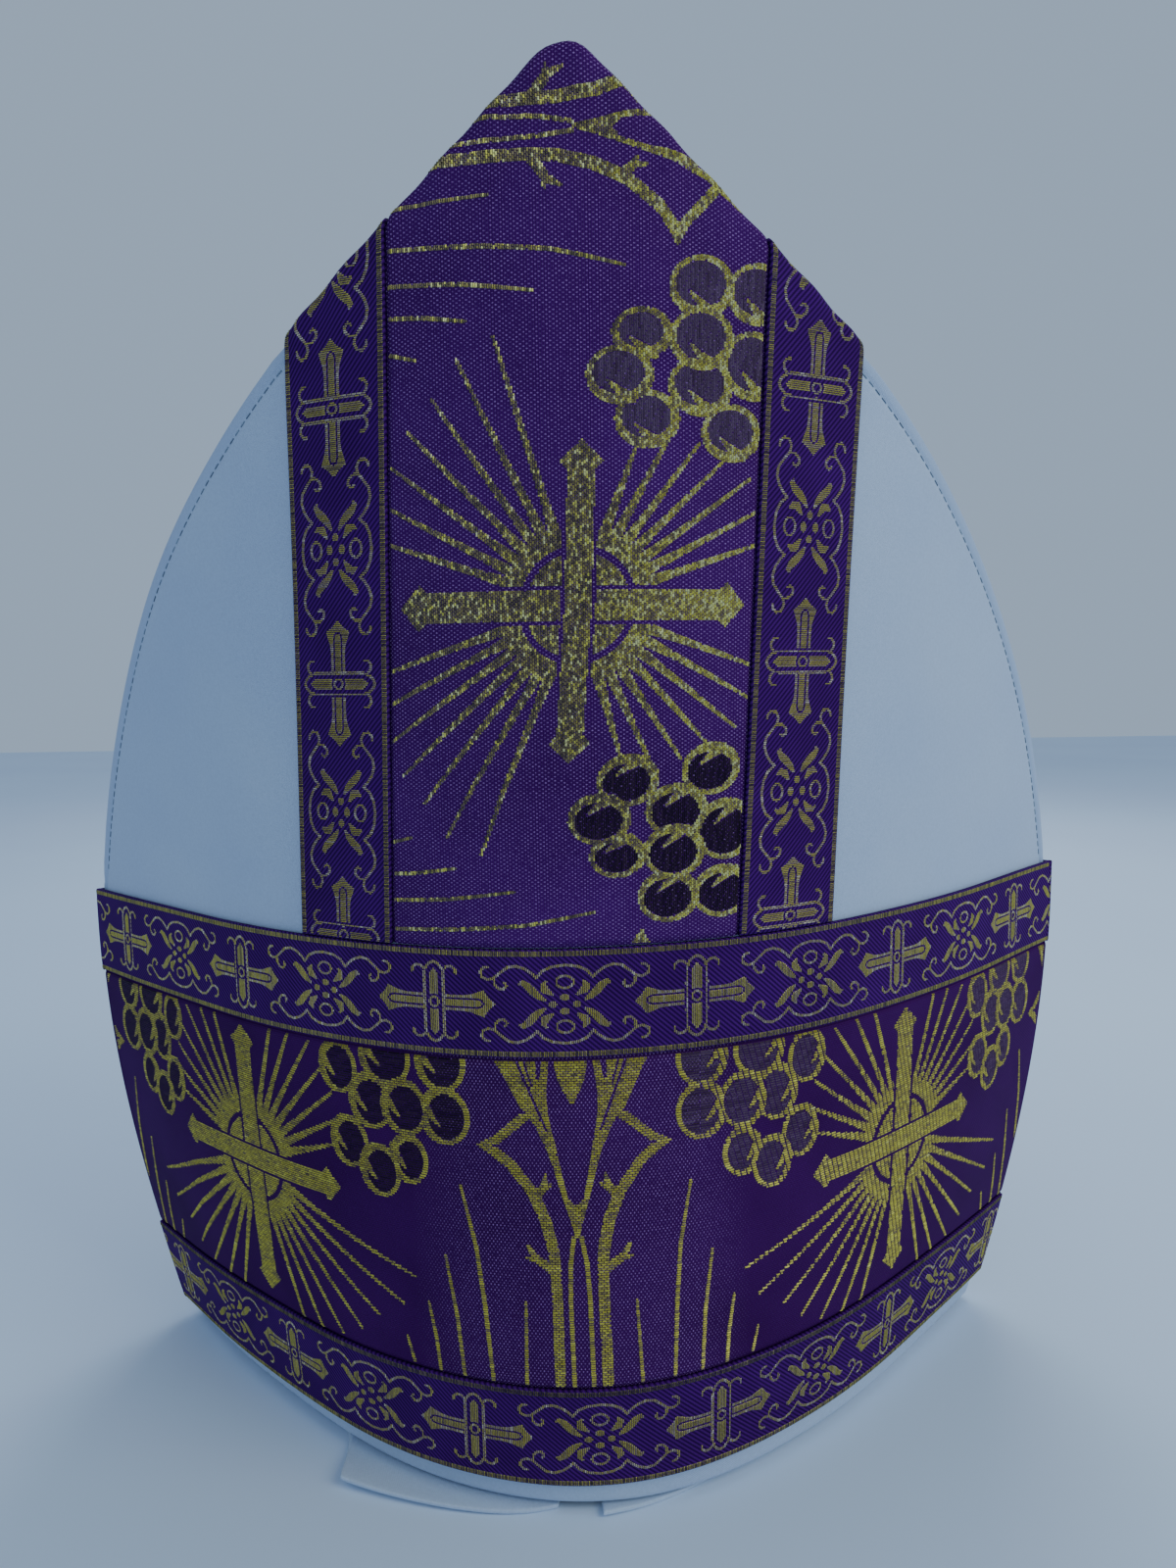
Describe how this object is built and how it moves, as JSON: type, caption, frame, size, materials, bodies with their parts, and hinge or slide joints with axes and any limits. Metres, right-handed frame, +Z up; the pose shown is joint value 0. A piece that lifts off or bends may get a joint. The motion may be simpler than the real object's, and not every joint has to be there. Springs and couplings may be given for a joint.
{
  "type": "bishop mitre",
  "caption": "Bishop's mitre: two pointed cloth horns joined at side seams over an open head hollow, with a soft gusset, brocade panels and woven ribbon borders.",
  "frame": {"origin": "centre of the outline's box at the surface that the mitre stands on", "axes": "+Z up towards the points of the horns, -Y towards the front horn, +X to the right seen from the front"},
  "size_m": [0.2844, 0.1939, 0.3129],
  "materials": {
    "white_cloth": "fine plain weave, matt",
    "lining": "soft lining cloth, matt",
    "purple_brocade": "violet brocade with gold metallic thread motifs",
    "galloon_ribbon": "dark violet twill ribbon woven with gold thread ornament"
  },
  "bodies": {
    "root": {"front_horn": "white_cloth", "back_horn": "white_cloth", "crown_gusset": "lining", "inner_band": "lining", "front_band_brocade": "purple_brocade", "back_band_brocade": "purple_brocade", "front_band_lower_ribbon": "galloon_ribbon", "back_band_lower_ribbon": "galloon_ribbon", "front_band_upper_ribbon": "galloon_ribbon", "back_band_upper_ribbon": "galloon_ribbon", "front_panel_brocade": "purple_brocade", "back_panel_brocade": "purple_brocade", "front_panel_left_ribbon": "galloon_ribbon", "front_panel_right_ribbon": "galloon_ribbon", "back_panel_left_ribbon": "galloon_ribbon", "back_panel_right_ribbon": "galloon_ribbon"}
  },
  "joints": []
}
